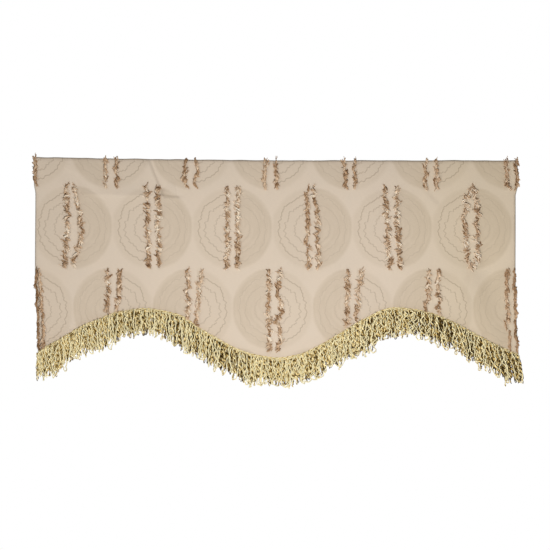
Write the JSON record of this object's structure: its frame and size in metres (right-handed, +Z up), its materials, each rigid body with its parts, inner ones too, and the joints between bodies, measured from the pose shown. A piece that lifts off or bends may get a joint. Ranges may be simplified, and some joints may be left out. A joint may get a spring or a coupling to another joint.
{
  "type": "window valance",
  "caption": "Flat hung window valance of tonal jacquard cloth with raised eyelash stripes and a loop fringe sewn along its curved, arched hem.",
  "frame": {"origin": "middle of the top edge, half way through the cloth's thickness, where the valance is hung", "axes": "+Z up, +X to the right of a viewer facing the front, the patterned front towards -Y"},
  "size_m": [1.2998, 0.0262, 0.6223],
  "materials": {
    "panel_cloth": "tonal beige jacquard, matt with a faint satin sheen",
    "fringe_yarn": "crinkled gold loop yarn with a soft lustre",
    "eyelash_yarn": "brown and fawn clipped eyelash yarn"
  },
  "bodies": {
    "root": {"valance_panel": "panel_cloth", "loop_fringe_1": "fringe_yarn", "loop_fringe_2": "fringe_yarn", "loop_fringe_3": "fringe_yarn", "loop_fringe_4": "fringe_yarn", "loop_fringe_5": "fringe_yarn", "loop_fringe_6": "fringe_yarn", "loop_fringe_7": "fringe_yarn", "loop_fringe_8": "fringe_yarn"}
  },
  "joints": []
}
